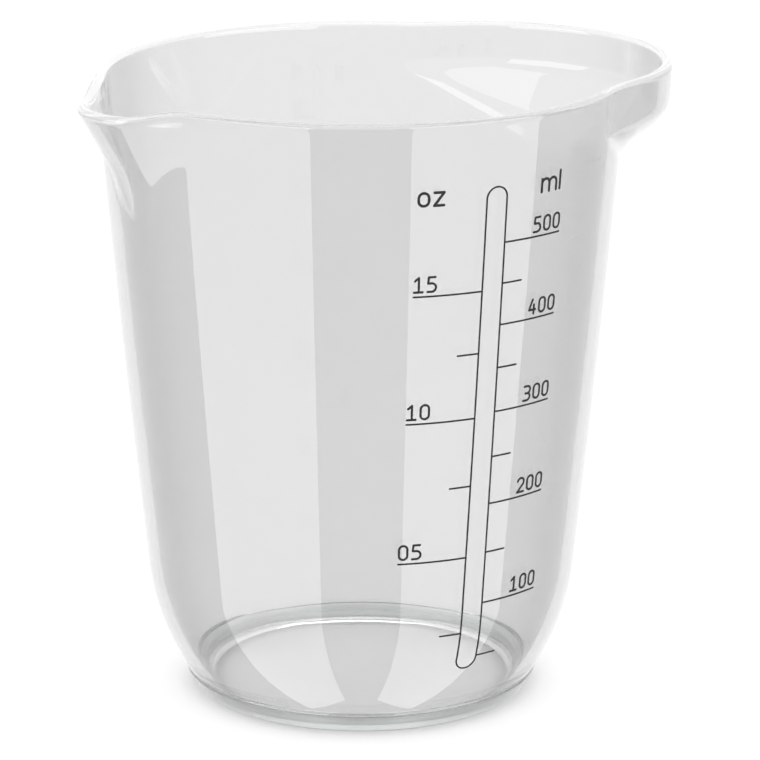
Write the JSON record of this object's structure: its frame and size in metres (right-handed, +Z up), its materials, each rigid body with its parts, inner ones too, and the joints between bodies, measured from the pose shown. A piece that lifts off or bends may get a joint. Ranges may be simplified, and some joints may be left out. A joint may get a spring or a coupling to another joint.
{
  "type": "measuring beaker",
  "caption": "Clear plastic measuring beaker with a tapered round cup, pouring spout, thumb ledge, short foot and printed millilitre and ounce scales.",
  "frame": {"origin": "centre of the foot's flat underside, on the axis of the cup", "axes": "+Z up along the cup's axis; the thumb ledge is towards +X, the pouring spout towards -X and the printed scale faces -Y"},
  "size_m": [0.121, 0.0998, 0.12],
  "materials": {
    "clear_plastic": "clear glossy injection-moulded plastic with a very faint grey-green tint",
    "scale_ink": "thin matt charcoal printing ink"
  },
  "bodies": {
    "root": {"beaker_body": "clear_plastic", "ml_legend": "scale_ink", "ml_line_100": "scale_ink", "ml_line_200": "scale_ink", "ml_line_300": "scale_ink", "ml_line_400": "scale_ink", "ml_line_500": "scale_ink", "ml_number_100": "scale_ink", "ml_number_200": "scale_ink", "ml_number_300": "scale_ink", "ml_number_400": "scale_ink", "ml_number_500": "scale_ink", "ml_tick_050": "scale_ink", "ml_tick_150": "scale_ink", "ml_tick_250": "scale_ink", "ml_tick_350": "scale_ink", "ml_tick_450": "scale_ink", "oz_legend": "scale_ink", "oz_line_05": "scale_ink", "oz_line_10": "scale_ink", "oz_line_15": "scale_ink", "oz_number_05": "scale_ink", "oz_number_10": "scale_ink", "oz_number_15": "scale_ink", "oz_tick_025": "scale_ink", "oz_tick_075": "scale_ink", "oz_tick_125": "scale_ink", "scale_column_outline": "scale_ink"}
  },
  "joints": []
}
